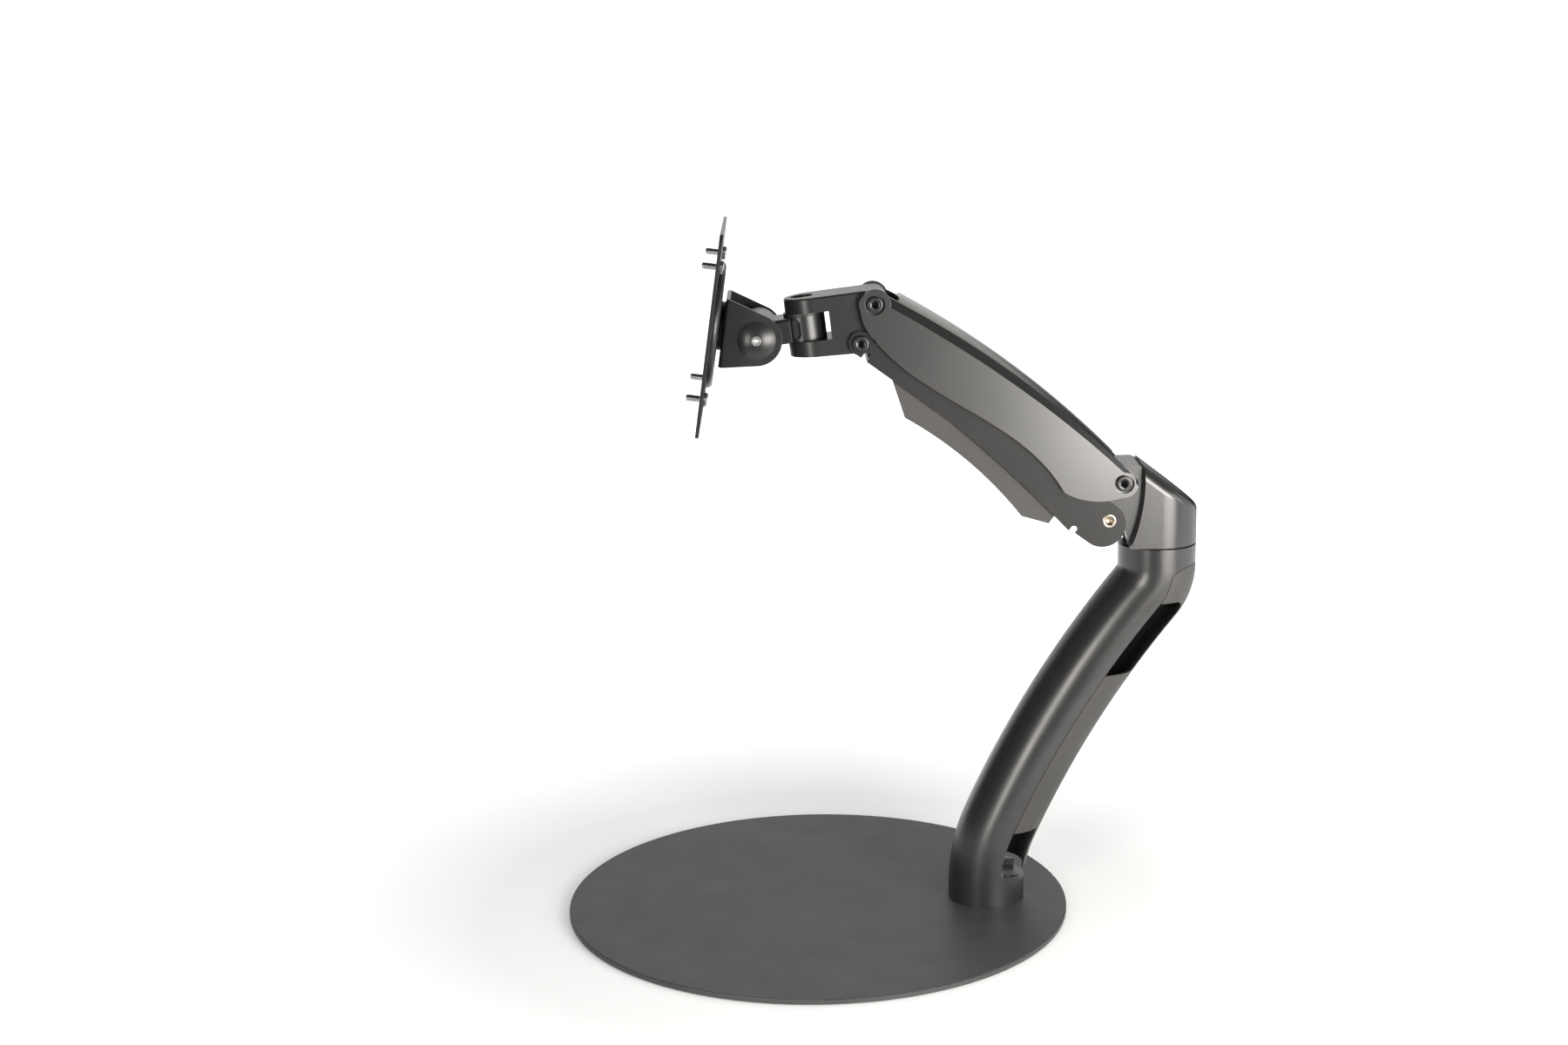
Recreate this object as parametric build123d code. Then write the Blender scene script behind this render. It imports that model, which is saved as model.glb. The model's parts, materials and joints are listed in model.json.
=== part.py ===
from build123d import *
import os
from math import atan2, cos, degrees, radians, sin, tan

# Desktop monitor arm on a round base: bent column, swivelling hub, parallelogram
# arm with a gas spring, swivel and tilt head, and a VESA plate.
# Millimetres. Origin at the centre of the underside. +X towards the column,
# +Z up. The arm points to -X at rest.

# Fits
RUN_CLEAR = 0.05        # radial, pin turning in a bore
SLIP_CLEAR = 0.02       # radial, pin held in a hole of its own body
SIDE_CLEAR = 0.3        # between flat sides that move past each other
SEAT_CLEAR = 0.05       # between a face and the washer it bears on
OPEN_PIVOT_CLEAR = 0.1  # radial, front link pin in the clevis

# Base
BASE_D = 300.0
BASE_T = 3.0
BASE_EDGE_R = 0.8
PAD_IN = 5.0            # rim of the pad inside the rim of the base
PAD_T = 0.5
FOOT_IN = 47.8          # column's axis from the rim of the base
FOOT_BOLT_CIRCLE_D = 28.0
FOOT_BOLT_COUNT = 4
FOOT_BOLT_START = 45.0
FOOT_BOLT_D = 6.0
FOOT_BOLT_DEPTH = 12.0
FOOT_BOLT_HEAD_D = 11.0
FOOT_BOLT_HEAD_T = 2.2

# Column
COLUMN_D = 45.4
BEND_START_Z = 10.9
LOWER_BEND_R = 99.0
LOWER_BEND_ANGLE = 23.7
LONG_BEND_R = 626.0
LEAN_ANGLE = 38.9
TOP_BEND_R = 27.0
COLLAR_L = 12.3         # straight top end of the column
SEAM_BACK = 6.0         # seam of the cable cover behind the centreline
CHANNEL_DEPTH = 13.0
CHANNEL_W = 28.0
CHANNEL_TOP_DROP = 43.4 # below the column's top
CHANNEL_FOOT_Z = 17.0
EXIT_Z = 21.0           # shoulder of the cable exit above the foot
EXIT_CORNER_R = 4.0
ARCH_R = 20.0           # rounded top end of the cable cover
ARCH_BACK = 19.5        # arch centre behind the swivel axis
ARCH_DROP = 30.9        # and below the column's top

# Cable cover
COVER_WALL = 2.0
COVER_GAP = 0.3
COVER_END_Z = 24.6
WINDOW_TOP_DROP = 32.4  # below the column's top
WINDOW_FOOT_DROP = 75.4
WINDOW_CORNER_R = 3.5
SPINE_W = 3.0
EXIT_WINDOW_TOP_Z = 49.7
FAR_NOTCH_W = 5.5       # notch in the far wall of the cover beside the exit
FAR_NOTCH_TOP_Z = 57.0
SNAP_RIB_T = 1.8
SNAP_RIB_REACH = 4.0    # ribs of the cover reach this far into the channel
SNAP_RIB_FOOT_Z = 90.0
SNAP_RIB_TOP_Z = 130.0

# Swivel
SPINDLE_D = 16.0
SPINDLE_SEAT = 13.0
SPINDLE_RISE = 22.0
SPINDLE_CHAMFER = 1.0
BUSH_WALL = 2.0
BUSH_L = 20.0
THRUST_D = 40.0
THRUST_T = 0.9

# Hub
HUB_SLOPE = 37.8
HUB_REAR_H = 22.0       # height of the round back below the sloping top
HUB_EDGE_R = 6.0
HUB_FRONT_FOOT = 18.6   # front edge of the hub body ahead of the swivel axis, at its foot
HUB_FRONT_MID = 11.9    # and half-way up
HUB_FRONT_TOP = 10.9    # and at its top
LUG_W = 32.0
LUG_TOP_R = 10.0
LUG_FOOT_R = 9.0
SPRING_SLOT_W = 12.0
SPRING_SLOT_TOP = 3.6   # top of the slot above the upper pivot

# Parallelogram
LIFT_AHEAD = 22.4       # upper rear pivot ahead of the swivel axis
LIFT_RISE = 39.3        # and above the column's top
LIFT_DOWN = 70.0        # lift travel below and above the rest pose
LIFT_UP = 5.0
ARM_LENGTH = 177.6
ARM_ANGLE = 36.7
PIVOT_DROP = 23.6       # distance between upper and lower pivots
PIVOT_LEAN = 20.2       # lean of that line from the vertical

# Arm shell
SHELL_BULGE = 2.0       # each side is wider at mid length by this much
SHELL_END_WALL = 1.6
SHELL_WALL = 2.4
CREST_H = 16.8          # heights of the crown at mid length, above the pivots
SHOULDER_H = 14.0
CREASE_H = 9.5
SHOULDER_W = 5.2        # from the crease in to the shoulder
CROWN_END = 12.0        # crown drawn past the pivots by this much
CREST_REAR_FALL = 11.1  # fall of the crown from mid length to that place
SHOULDER_REAR_FALL = 9.2
CREASE_REAR_FALL = 8.0
CREST_FRONT_FALL = 7.9
SHOULDER_FRONT_FALL = 8.8
CREASE_FRONT_FALL = 10.7
SHELL_REAR_R = 8.2
SHELL_FRONT_R = 8.6
EAR_DISC_R = 9.0        # discs of the front ears
EAR_DISC_IN = 0.4       # their inner side, from the cavity's side
HAUNCH_AT = 25.0        # lowest point of the side wall near the hub
HAUNCH_DROP = 24.2
HAUNCH_R = 41.5
BELLY_DROP = 16.6       # highest point of the lower edge, at mid length
CHIN_BACK = 39.6        # lowest point of the side wall near the head, from the front pivot
CHIN_DROP = 20.0
CHIN_END_BACK = 10.6
CHIN_END_DROP = 16.2
CHIN_R = 24.0
CROWN_SLOT_REAR = 14.0
CROWN_SLOT_FRONT = 10.0
CROWN_SLOT_FOOT = 4.0
PIVOT_PIN_D = 8.0
PIVOT_BOSS_R = 6.8
PIVOT_SEAT_IN = 0.5     # floor of the counterbores inside the cavity's side
WASHER_D = 13.0

# Button-head screws
SCREW_HEAD_D = 9.5
SCREW_HEAD_T = 2.4
SCREW_EDGE_R = 0.8
SCREW_SHANK_D = 5.0
SCREW_SHANK_L = 6.0
HEX_ACROSS = 4.0
HEX_DEPTH = 1.6
COUNTERBORE_D = 11.5

# Lower link
LINK_WALL = 2.0
LINK_GAP = 0.6          # between the link and the inside of the shell
LINK_END_R = 13.4
LINK_END_AHEAD = 1.9    # centre of the rounded rear end from the rivet
LINK_END_DROP = 3.9
LINK_TOP = 13.0         # upper edge of the side plates below the upper pivots
LINK_TOP_END_BACK = 77.6
LINK_TOP_FRONT = 17.6
LINK_TOP_FRONT_BACK = 37.6
LINK_WEB_REAR = 9.0
LINK_WEB_FRONT_BACK = 15.6
LINK_HEEL_DROP = 41.0
LINK_WAIST_BACK = 74.6
LINK_WAIST_DROP = 29.3
LINK_SWEEP_R = 800.0
LINK_FRONT_R = 7.0
RELIEF_W = 4.0
RELIEF_DEPTH = 4.5
RIVET_D = 7.5
RIVET_HOLE_D = 4.4
RIVET_HEAD_D = 9.0
RIVET_HEAD_T = 0.25
LINK_PIN_D = 6.0
LINK_SCREW_D = 3.4

# Cable clip under the link
CLIP_W = 32.2
CLIP_WALL = 1.8
CLIP_REAR = 20.5
CLIP_REAR_DROP = 44.5
CLIP_FLOOR_REAR_AT = 36.0
CLIP_FLOOR_REAR_DROP = 50.2
CLIP_FLOOR_MID_DROP = 42.2
CLIP_FLOOR_FRONT_BACK = 52.6
CLIP_FLOOR_FRONT_DROP = 42.9
CLIP_FRONT_BACK = 33.6
HOOK_REAR_AT = 45.0
HOOK_FRONT_BACK = 62.6
HOOK_L = 8.0
HOOK_RISE = 3.0         # hooks above the web
HOOK_BARB = 0.8
HOOK_BARB_H = 1.2

# Gas spring
SPRING_PIN_D = 5.0
SPRING_PIN_AT = 12.0    # lower spring pin from the upper rear pivot
SPRING_PIN_IN = 3.0     # ends of that pin inside the sides of the lug
SPRING_ANCHOR_BACK = 27.6
SPRING_BOSS_R = 5.5
SPRING_TUBE_D = 18.0
SPRING_TUBE_FROM = 12.0
SPRING_ROD_SHOWN = 68.0 # length of the rod between tube and eye at rest
SPRING_TUBE_EDGE_R = 1.5
SPRING_NECK_D = 9.0
SPRING_CAP_L = 16.0     # closed end of the tube
SPRING_ROD_D = 7.0
SPRING_ROD_IN = 20.0    # length of the rod inside the tube at rest
SPRING_EYE_R = 5.5
SPRING_EYE_W = 10.0
SPRING_EYE_FLOAT = 1.6  # float of the open eye on its pin

# Clevis
CLEVIS_DROOP = 6.5
CLEVIS_TOP = 8.0        # top face above the upper pivot
CLEVIS_FOOT_REAR = 26.9
CLEVIS_FOOT_FRONT = 25.2
CLEVIS_LUG_R = 8.0
CLEVIS_TAIL_R = 5.8
CLEVIS_NOSE_AT = 51.4
CLEVIS_EDGE_R = 1.2
FORK_ROOT_AT = 26.4
FORK_TOP = 0.6
FORK_FOOT = 16.8
SWIVEL_AT = 40.8
SWIVEL_PIN_D = 10.0
SWIVEL_HEAD_D = 13.0
SWIVEL_HEAD_T = 4.0
SWIVEL_SINK = 5.4       # depth of the head's counterbore
SWIVEL_NUT_SINK = 4.4
SWIVEL_NUT_T = 3.6
SWIVEL_THREAD_D = 8.0
SWIVEL_WASHER_T = 1.8

# Knuckle
BARREL_R = 11.8
NECK_W = 27.0
NECK_FROM = 8.5         # neck shoulders ahead of the swivel pin
NECK_EDGE_R = 2.0
STOP_AHEAD = 5.6        # stop slots ahead of the swivel pin
STOP_L = 11.0
STOP_W = 5.5
STOP_DEPTH = 2.5
NECK_REACH = 69.3       # tilt axis from the upper pivot of the clevis
NECK_DROP = 11.0
TILT_BARREL_R = 14.0
TILT_BARREL_W = 38.0
TILT_EDGE_R = 1.0
TILT_BOLT_D = 6.0
TILT_THREAD_D = 4.0
TILT_THREAD_L = 12.0
TILT_NUT_FROM = 8.0

# Tilt bracket
HEAD_TILT = 8.4
BRACKET_W = 45.0
BRACKET_T = 2.2
CHEEK_R = 14.7
WEB_AT = 19.7           # front of the web ahead of the tilt axis
WEB_TOP = 21.1
WEB_FOOT = 18.1
BRACKET_BEND_R = 3.0
DOME_D = 22.0
DOME_H = 3.0
TILT_HEAD_D = 6.6
TILT_HEAD_T = 2.0
TILT_HEAD_IN = 0.4      # head below the top of the dome
TILT_WASHER_D = 24.0

# VESA head
HEAD_RISE = 2.8         # centre of the plate above the tilt axis
SPACER_D = 28.0
SPACER_T = 2.3
DISC_D = 73.0
DISC_T = 3.5
DISC_EDGE_R = 2.6
PLATE_SIZE = 115.0
PLATE_T = 2.0
PLATE_CORNER_R = 6.0
PLATE_HOLE_D = 32.0
VESA_LARGE = 100.0
VESA_SMALL = 75.0
VESA_HOLE_D = 5.0
VESA_SCREW_D = 4.0
VESA_SCREW_L = 8.0
VESA_HEAD_D = 8.0
VESA_HEAD_T = 2.4
VESA_SOCKET = 2.5
VESA_SOCKET_DEPTH = 1.4
ROTATION_BOLT_D = 8.0
ROTATION_HEAD_D = 20.0
ROTATION_HEAD_T = 1.6
ROTATION_FLANGE_D = 13.0
ROTATION_FLANGE_T = 2.0

# Places that follow from the sizes
FAR = 2 * ARM_LENGTH    # reach of cuts that pass right through
PAD_D = BASE_D - 2 * PAD_IN
BASE_TOP = PAD_T + BASE_T
FOOT_X = BASE_D / 2 - FOOT_IN
HUB_D = COLUMN_D
BUSH_BORE_D = SPINDLE_D + 2 * RUN_CLEAR
BUSH_D = BUSH_BORE_D + 2 * BUSH_WALL
LINK_INNER_W = LUG_W + 2 * SIDE_CLEAR
LINK_W = LINK_INNER_W + 2 * LINK_WALL
SHELL_CAVITY_W = LINK_W + 2 * LINK_GAP
SHELL_END_W = SHELL_CAVITY_W + 2 * SHELL_END_WALL
SHELL_W = SHELL_END_W + 2 * SHELL_BULGE
WASHER_T = SIDE_CLEAR - 2 * SEAT_CLEAR
PIVOT_SEAT = SHELL_CAVITY_W / 2 - PIVOT_SEAT_IN
SPRING_MID_TURN = (LIFT_DOWN - LIFT_UP) / 2
KNUCKLE_TOP = FORK_TOP + SWIVEL_WASHER_T + 2 * SEAT_CLEAR
KNUCKLE_FOOT = FORK_FOOT - SEAT_CLEAR
CHEEK_INNER = BRACKET_W / 2 - BRACKET_T
DISC_AT = WEB_AT + SPACER_T
PLATE_AT = DISC_AT + DISC_T
TILT_SEAT = BRACKET_W / 2 + DOME_H - TILT_HEAD_IN - TILT_HEAD_T
SWIVEL_SEAT = CLEVIS_TOP - SWIVEL_SINK
SWIVEL_NUT_SEAT = SWIVEL_NUT_SINK - CLEVIS_FOOT_FRONT
LINK_WEB_FRONT = ARM_LENGTH - LINK_WEB_FRONT_BACK
CLIP_FRONT = ARM_LENGTH - CLIP_FRONT_BACK
CLIP_FLOOR_FRONT_AT = ARM_LENGTH - CLIP_FLOOR_FRONT_BACK
SPRING_ANCHOR_AT = ARM_LENGTH - SPRING_ANCHOR_BACK
FRONT_PLACE = (ARM_LENGTH, 0)
REAR_PLACE = (0, 0)
UPWARD = (Align.CENTER, Align.CENTER, Align.MIN)


def shifted(point, dx, dy):
    point = Vector(*point)
    return (point.X + dx, point.Y + dy)


def column_line(shift=0.0):
    """Centreline of the column in X and Z, moved to the rear by shift."""
    foot = Line((FOOT_X + shift, BASE_TOP), (FOOT_X + shift, BEND_START_Z))
    lower = JernArc(foot @ 1, foot % 1, LOWER_BEND_R - shift, -LOWER_BEND_ANGLE)
    rise = JernArc(lower @ 1, lower % 1, LONG_BEND_R - shift, LOWER_BEND_ANGLE - LEAN_ANGLE)
    top = JernArc(rise @ 1, rise % 1, TOP_BEND_R + shift, LEAN_ANGLE)
    collar = Line(top @ 1, shifted(top @ 1, 0, COLLAR_L))
    return Curve() + [foot, lower, rise, top, collar]


COLUMN_END = column_line().vertices().sort_by(Axis.Y)[-1]
SWIVEL_X = COLUMN_END.X
COLUMN_TOP_Z = COLUMN_END.Y
ARCH_Z = COLUMN_TOP_Z - ARCH_DROP
HUB_Z = COLUMN_TOP_Z + THRUST_T + 2 * SEAT_CLEAR
LIFT_Z = COLUMN_TOP_Z + LIFT_RISE
LIFT = (SWIVEL_X - LIFT_AHEAD, LIFT_Z)
DROP = (-PIVOT_DROP * sin(radians(PIVOT_LEAN)), -PIVOT_DROP * cos(radians(PIVOT_LEAN)))
REACH = (-ARM_LENGTH * cos(radians(ARM_ANGLE)), ARM_LENGTH * sin(radians(ARM_ANGLE)))
CLEVIS_PIVOT = shifted(LIFT, *REACH)


def side_plane(point, pitch):
    """Side view plane: x points to -X and pitch degrees up, y up, z is +Y."""
    direction = (-cos(radians(pitch)), 0, sin(radians(pitch)))
    return Plane(origin=(point[0], 0, point[1]), x_dir=direction, z_dir=(0, 1, 0))


ARM = side_plane(LIFT, ARM_ANGLE)
CLEVIS = side_plane(CLEVIS_PIVOT, -CLEVIS_DROOP)


def in_plane(plane, point):
    """Local x and y of a world X, Z point."""
    local = plane.to_local_coords(Vector(point[0], 0, point[1]))
    return (local.X, local.Y)


def in_world(plane, point):
    """World X, Z of a local point."""
    world = plane.from_local_coords(Vector(point[0], point[1], 0))
    return (world.X, world.Z)


TILT = in_world(CLEVIS, (NECK_REACH, -NECK_DROP))
HEAD = side_plane(TILT, HEAD_TILT)
LINK_REAR = in_plane(ARM, shifted(LIFT, *DROP))
LINK_FRONT = in_plane(ARM, shifted(CLEVIS_PIVOT, *DROP))


def slab(face, width):
    """A face drawn in a side view, spread evenly to both sides of the middle plane."""
    return extrude(face, width / 2, both=True)


def rod(point, d, near, far):
    """Round bar across the part, from z near to z far, at a local point."""
    return Pos(point[0], point[1], near) * Cylinder(d / 2, far - near, align=UPWARD)


def bar(d, start, end):
    """Round bar along local x."""
    return Pos(start, 0, 0) * Rot(0, 90, 0) * Cylinder(d / 2, end - start, align=UPWARD)


def post(d, foot, top):
    """Upright round bar on the Z axis."""
    return Pos(0, 0, foot) * Cylinder(d / 2, top - foot, align=UPWARD)


def spot(point, r):
    return Pos(*point) * Circle(r)


def block(left, right, low, high):
    """Upright rectangle between two x and two y values."""
    return Pos((left + right) / 2, (low + high) / 2) * Rectangle(right - left, high - low)


def filled(*curves):
    """Face inside a closed run of curves."""
    return make_face((Curve() + list(curves)).edges())


def both_sides(part):
    """The part together with its mirror image across the middle plane."""
    return Compound(children=[part, mirror(part, about=Plane.XY)])


def hex_socket(point, across, foot, depth):
    return Pos(point[0], point[1], foot) * extrude(RegularPolygon(across / 2, 6, major_radius=False), depth)


def button_screw(point, seat, shank_d):
    """Button-head screw with a hex socket, its head on z = seat and facing +z."""
    head = rod(point, SCREW_HEAD_D, seat, seat + SCREW_HEAD_T)
    head = fillet(head.edges().group_by(Axis.Z)[-1], SCREW_EDGE_R)
    shank = rod(point, shank_d, seat - SCREW_SHANK_L, seat)
    return head + shank - hex_socket(point, HEX_ACROSS, seat + SCREW_HEAD_T - HEX_DEPTH, HEX_DEPTH)


def tapped_pin(point, d, half_length, tap_d):
    """Pin across the part with a tapped hole in each end."""
    pin = rod(point, d, -half_length, half_length)
    tap = rod(point, tap_d + 2 * SLIP_CLEAR, half_length - SCREW_SHANK_L - SEAT_CLEAR, half_length)
    return pin - tap - mirror(tap, about=Plane.XY)


# Base
def at_foot_bolts(part):
    return [Pos(FOOT_X, 0, 0) * place * part
            for place in PolarLocations(FOOT_BOLT_CIRCLE_D / 2, FOOT_BOLT_COUNT, FOOT_BOLT_START)]


def foot_bolt(clear=0.0):
    head = post(FOOT_BOLT_HEAD_D + 2 * clear, PAD_T, PAD_T + FOOT_BOLT_HEAD_T)
    return head + post(FOOT_BOLT_D + 2 * clear, PAD_T, BASE_TOP + FOOT_BOLT_DEPTH)


def base_plate():
    plate = post(BASE_D, PAD_T, BASE_TOP)
    plate = fillet(plate.edges().group_by(Axis.Z)[-1], BASE_EDGE_R)
    return plate - at_foot_bolts(foot_bolt(SLIP_CLEAR))


def base_pad():
    return post(PAD_D, 0, PAD_T)


def foot_bolts():
    return Compound(children=at_foot_bolts(foot_bolt()))


# Column and cable cover
def column_sweep(d):
    section = Plane((FOOT_X, 0, BASE_TOP)) * Circle(d / 2)
    return sweep(section, path=Plane.XZ * column_line())


def behind(shift):
    """Side view of everything behind the centreline moved to the rear by shift."""
    line = column_line(shift)
    end = line.vertices().sort_by(Axis.Y)[-1]
    far = SWIVEL_X + COLUMN_D
    rest = Polyline((end.X, end.Y), (far, end.Y), (far, BASE_TOP), (FOOT_X + shift, BASE_TOP))
    return filled(line, rest)


def level(low, high):
    """Side view of everything between two heights."""
    return block(0, SWIVEL_X + COLUMN_D, low, high)


def cover_space(gap, end_z):
    """Side view of the space behind the seam, drawn back by gap from the seam and the arch."""
    arch = spot((SWIVEL_X + ARCH_BACK, ARCH_Z), ARCH_R - gap)
    return behind(SEAM_BACK + gap) & (level(end_z, ARCH_Z) + arch)


def column():
    space = cover_space(0, EXIT_Z)
    corner = space.vertices().group_by(Axis.Y)[0].sort_by(Axis.X)[0]
    body = column_sweep(COLUMN_D) - slab(Plane.XZ * fillet(corner, EXIT_CORNER_R), 2 * COLUMN_D)
    channel = behind(SEAM_BACK - CHANNEL_DEPTH) & level(CHANNEL_FOOT_Z, COLUMN_TOP_Z - CHANNEL_TOP_DROP)
    body -= slab(Plane.XZ * channel, CHANNEL_W)
    seat = post(SPINDLE_D + 2 * SEAT_CLEAR, COLUMN_TOP_Z - SPINDLE_SEAT, COLUMN_TOP_Z)
    return body - Pos(SWIVEL_X, 0, 0) * seat - at_foot_bolts(foot_bolt(SLIP_CLEAR))


def windows():
    """Cable window and cable exit in the near side of the cover, from the seam to a rear spine."""
    spine = COLUMN_D / 2 - SPINE_W
    upper = behind(0) - behind(spine)
    upper &= level(COLUMN_TOP_Z - WINDOW_FOOT_DROP, COLUMN_TOP_Z - WINDOW_TOP_DROP)
    rows = upper.vertices().group_by(Axis.Y)
    rear = [row.sort_by(Axis.X)[-1] for row in (rows[0], rows[-1])]
    lower = (behind(0) - behind(spine)) & level(BASE_TOP, EXIT_WINDOW_TOP_Z)
    return fillet(rear, WINDOW_CORNER_R) + lower


def snap_ribs():
    """Ribs of the cover that grip the sides of the channel."""
    band = behind(SEAM_BACK - SNAP_RIB_REACH) - behind(COLUMN_D / 2 - COVER_WALL)
    band &= level(SNAP_RIB_FOOT_Z, SNAP_RIB_TOP_Z)
    outer = CHANNEL_W - 2 * SLIP_CLEAR
    ribs = slab(Plane.XZ * band, outer) - slab(Plane.XZ * band, outer - 2 * SNAP_RIB_T)
    return ribs & column_sweep(COLUMN_D - COVER_WALL)


def column_cover():
    space = slab(Plane.XZ * cover_space(COVER_GAP, COVER_END_Z), 2 * COLUMN_D)
    cover = (column_sweep(COLUMN_D) & space) - column_sweep(COLUMN_D - 2 * COVER_WALL)
    notch = (behind(0) - behind(SEAM_BACK + FAR_NOTCH_W)) & level(BASE_TOP, FAR_NOTCH_TOP_Z)
    cover -= extrude(Plane.XZ * windows(), COLUMN_D)
    return cover - extrude(Plane.XZ * notch, -COLUMN_D) + snap_ribs()


# Swivel
def swivel_spindle():
    spindle = post(SPINDLE_D, COLUMN_TOP_Z - SPINDLE_SEAT, COLUMN_TOP_Z + SPINDLE_RISE)
    spindle = chamfer(spindle.edges().group_by(Axis.Z)[-1], SPINDLE_CHAMFER)
    return Pos(SWIVEL_X, 0, 0) * spindle


def thrust_washer():
    foot = COLUMN_TOP_Z + SEAT_CLEAR
    washer = post(THRUST_D, foot, foot + THRUST_T) - post(BUSH_BORE_D, foot, foot + THRUST_T)
    return Pos(SWIVEL_X, 0, 0) * washer


def spindle_bush():
    bush = post(BUSH_D, HUB_Z, HUB_Z + BUSH_L) - post(BUSH_BORE_D, HUB_Z, HUB_Z + BUSH_L)
    return Pos(SWIVEL_X, 0, 0) * bush


# Hub
def hub_body():
    """Round-backed block with a sloping top and a curved front edge."""
    rear = SWIVEL_X + HUB_D / 2
    rise = (HUB_D / 2 + HUB_FRONT_TOP) * tan(radians(HUB_SLOPE))
    top = (SWIVEL_X - HUB_FRONT_TOP, HUB_Z + HUB_REAR_H + rise)
    middle = (SWIVEL_X - HUB_FRONT_MID, (HUB_Z + top[1]) / 2)
    front = ThreePointArc((SWIVEL_X - HUB_FRONT_FOOT, HUB_Z), middle, top)
    rest = Polyline(top, (rear, HUB_Z + HUB_REAR_H), (rear, HUB_Z), front @ 0)
    plan = spot((SWIVEL_X, 0), HUB_D / 2) + block(SWIVEL_X - HUB_D, SWIVEL_X, -HUB_D / 2, HUB_D / 2)
    body = slab(Plane.XZ * filled(front, rest), HUB_D) & extrude(plan, FAR)
    slope = body.faces().filter_by(GeomType.PLANE).sort_by(Axis.Z)[-1]
    return fillet(slope.edges().sort_by(Axis.X)[1:], HUB_EDGE_R)


def spring_pin_local(turn):
    """Lower spring pin in the arm's side view, with the arm turned below rest by turn degrees."""
    anchor_pitch = degrees(atan2(SPRING_PIN_AT, SPRING_ANCHOR_AT))
    angle = radians(anchor_pitch + turn - SPRING_MID_TURN)
    return (SPRING_PIN_AT * sin(angle), -SPRING_PIN_AT * cos(angle))


def hub_lug():
    """Lug that carries both rear pivots and the lower spring pin, in the arm's side view."""
    return slab(make_hull((spot(REAR_PLACE, LUG_TOP_R) + spot(LINK_REAR, LUG_FOOT_R)).edges()), LUG_W)


def hub_holes():
    holes = rod(REAR_PLACE, PIVOT_PIN_D + 2 * RUN_CLEAR, -HUB_D, HUB_D)
    holes += rod(LINK_REAR, RIVET_D + 2 * RUN_CLEAR, -HUB_D, HUB_D)
    pin_end = LUG_W / 2 - SPRING_PIN_IN + SEAT_CLEAR
    return holes + rod(spring_pin_local(0), SPRING_PIN_D + 2 * SLIP_CLEAR, -pin_end, pin_end)


def hub_root():
    """Side view of the block that joins the lug to the round body."""
    top = LIFT_Z + LUG_TOP_R
    shoulder = HUB_Z + HUB_REAR_H
    top_end = SWIVEL_X + HUB_D / 2 - (top - shoulder) / tan(radians(HUB_SLOPE))
    foot = (SWIVEL_X - HUB_FRONT_FOOT, HUB_Z)
    front = Polyline(foot, (LIFT[0], LIFT_Z + DROP[1]), (LIFT[0], top), (top_end, top))
    root = filled(front, Polyline((top_end, top), (SWIVEL_X, shoulder), (SWIVEL_X, HUB_Z), foot))
    return fillet(root.vertices().group_by(Axis.Y)[-1].sort_by(Axis.X)[-1], HUB_EDGE_R)


def hub():
    body = hub_body() + slab(Plane.XZ * hub_root(), LUG_W) + ARM.location * hub_lug()
    slot = block(LIFT[0] - HUB_D, LIFT[0] + LUG_FOOT_R, 0, LIFT_Z + SPRING_SLOT_TOP)
    bore = post(BUSH_D + 2 * SLIP_CLEAR, HUB_Z, HUB_Z + SPINDLE_RISE)
    body -= slab(Plane.XZ * slot, SPRING_SLOT_W)
    return body - Pos(SWIVEL_X, 0, 0) * bore - ARM.location * hub_holes()


def spring_pin():
    end = LUG_W / 2 - SPRING_PIN_IN
    return ARM.location * rod(spring_pin_local(0), SPRING_PIN_D, -end, end)


def pivot_washers(place):
    """Thin washers on both sides of a lug."""
    near = LUG_W / 2 + SEAT_CLEAR
    washer = rod(place, WASHER_D, near, near + WASHER_T)
    washer -= rod(place, PIVOT_PIN_D + 2 * RUN_CLEAR, near, near + WASHER_T)
    return ARM.location * both_sides(washer)


# Arm shell, in the arm's side view
def crown_section(at, half, crest, shoulder, crease):
    """Section of the bar across the arm: upright sides, sloping shoulders and a rounded crest."""
    inner = half - SHOULDER_W
    foot = -HAUNCH_DROP - half
    crown = ThreePointArc((-inner, shoulder), (0, crest), (inner, shoulder))
    near = Polyline((-half, foot), (-half, crease), (-inner, shoulder))
    far = Polyline((inner, shoulder), (half, crease), (half, foot), (-half, foot))
    return Plane(origin=(at, 0, 0), x_dir=(0, 0, -1), z_dir=(1, 0, 0)) * filled(near, crown, far)


def crowned_bar(width, inset):
    """Bar drawn smoothly through a rear, a middle and a front section, all lower by inset."""
    half = width / 2
    crest = CREST_H - inset
    shoulder = SHOULDER_H - inset
    crease = CREASE_H - inset
    rear = (crest - CREST_REAR_FALL, shoulder - SHOULDER_REAR_FALL, crease - CREASE_REAR_FALL)
    front = (crest - CREST_FRONT_FALL, shoulder - SHOULDER_FRONT_FALL, crease - CREASE_FRONT_FALL)
    sections = [crown_section(-CROWN_END, half, *rear)]
    sections.append(crown_section(ARM_LENGTH / 2, half, crest, shoulder, crease))
    sections.append(crown_section(ARM_LENGTH + CROWN_END, half, *front))
    return loft(sections)


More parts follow.
